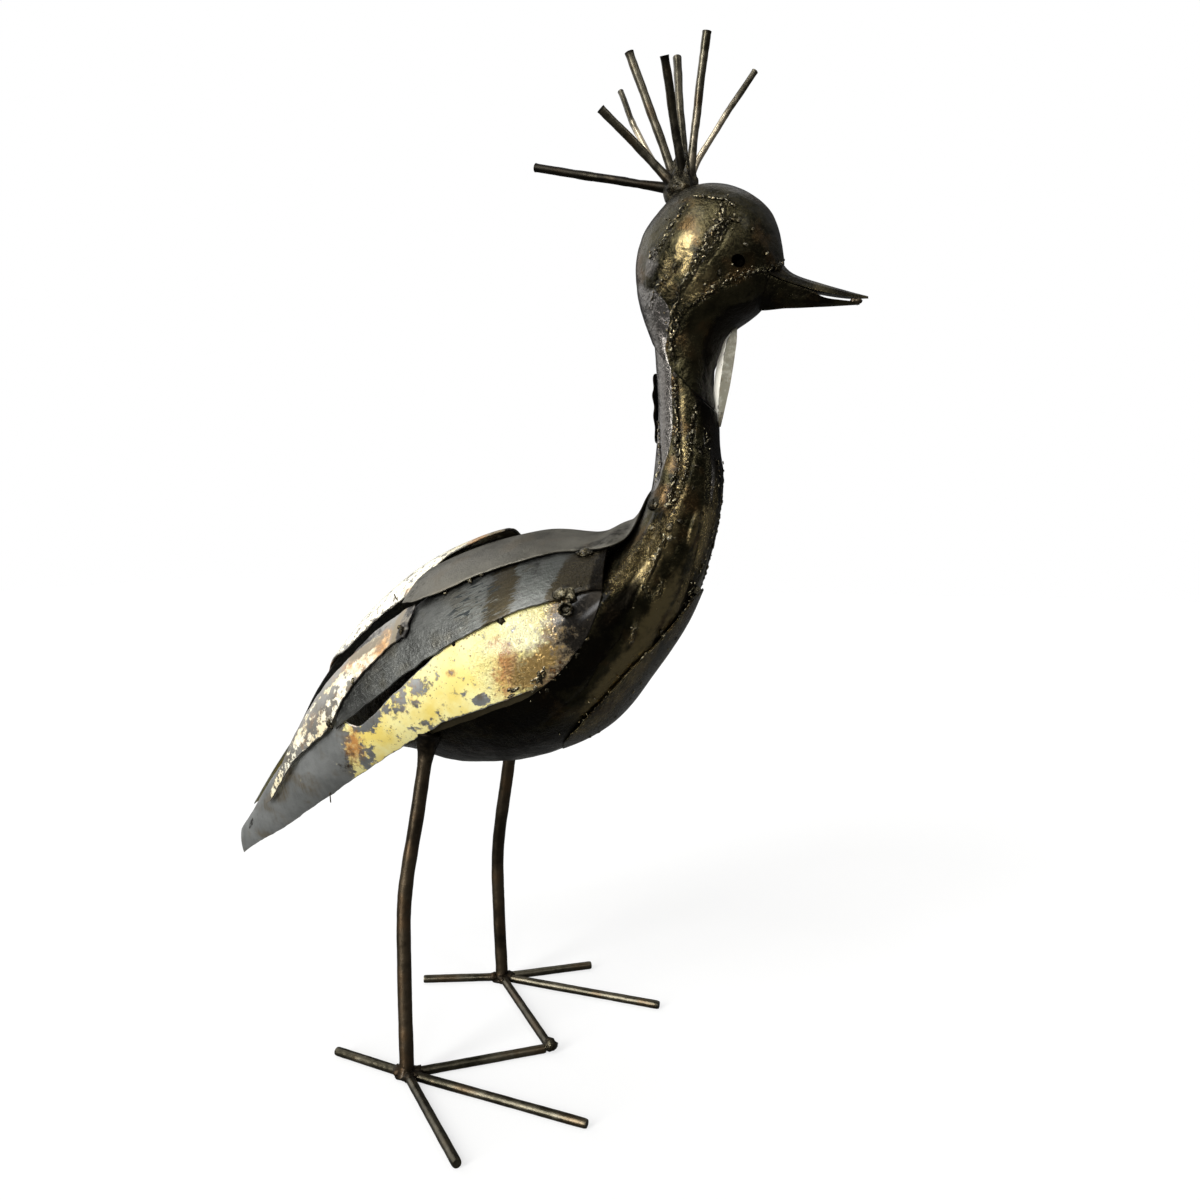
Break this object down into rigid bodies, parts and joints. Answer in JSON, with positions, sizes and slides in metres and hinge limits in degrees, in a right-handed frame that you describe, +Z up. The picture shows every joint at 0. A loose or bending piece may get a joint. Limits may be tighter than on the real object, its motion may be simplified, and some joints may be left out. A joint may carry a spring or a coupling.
{
  "type": "crowned crane figure",
  "caption": "Standing crowned crane of overlapping curved sheet-steel strips, with a fan of rods for its crown, on round-bar legs and star-shaped rod feet tied by a weld.",
  "frame": {"origin": "on the ground, at the middle of the figure's footprint seen from above", "axes": "+X forwards, the way the beak points; +Y to the bird's left; +Z up"},
  "size_m": [0.2954, 0.1709, 0.4285],
  "materials": {
    "lacquered_steel": "gloss clear lacquer over heat-tinted, hammered sheet steel",
    "grey_strip": "satin lacquer over bare grey sheet steel",
    "blue_grey_strip": "satin lacquer over ground, streaked sheet steel",
    "gold_paint": "worn glossy yellow paint, specked and scorched brown at its front",
    "cream_paint": "worn glossy cream paint over grey steel",
    "ivory_paint": "matt ivory paint, a little stained",
    "dark_rod": "satin dark brown round bar",
    "olive_rod": "satin olive-grey round rod",
    "weld_metal": "rough weld bead under clear lacquer"
  },
  "bodies": {
    "root": {"torso_neck_shell": "lacquered_steel", "head_shell": "lacquered_steel", "beak_upper": "lacquered_steel", "beak_lower": "lacquered_steel", "wattle": "ivory_paint", "crown_weld": "weld_metal", "crown_rod_1": "olive_rod", "crown_rod_2": "olive_rod", "crown_rod_3": "olive_rod", "crown_rod_4": "olive_rod", "crown_rod_5": "olive_rod", "crown_rod_6": "olive_rod", "crown_rod_7": "olive_rod", "crown_rod_8": "olive_rod", "wing_right_lining": "grey_strip", "wing_right_lower": "gold_paint", "wing_right_middle": "blue_grey_strip", "wing_right_upper": "cream_paint", "wing_left_lining": "grey_strip", "wing_left_lower": "gold_paint", "wing_left_middle": "blue_grey_strip", "wing_left_upper": "cream_paint", "mantle_strip": "grey_strip", "breast_strip": "lacquered_steel", "toe_tie_weld": "weld_metal", "leg_right": "dark_rod", "toe_right_middle": "olive_rod", "toe_right_back": "olive_rod", "toe_right_outer": "olive_rod", "toe_right_inner": "olive_rod", "leg_left": "dark_rod", "toe_left_middle": "olive_rod", "toe_left_back": "olive_rod", "toe_left_outer": "olive_rod", "toe_left_inner": "olive_rod"}
  },
  "joints": []
}
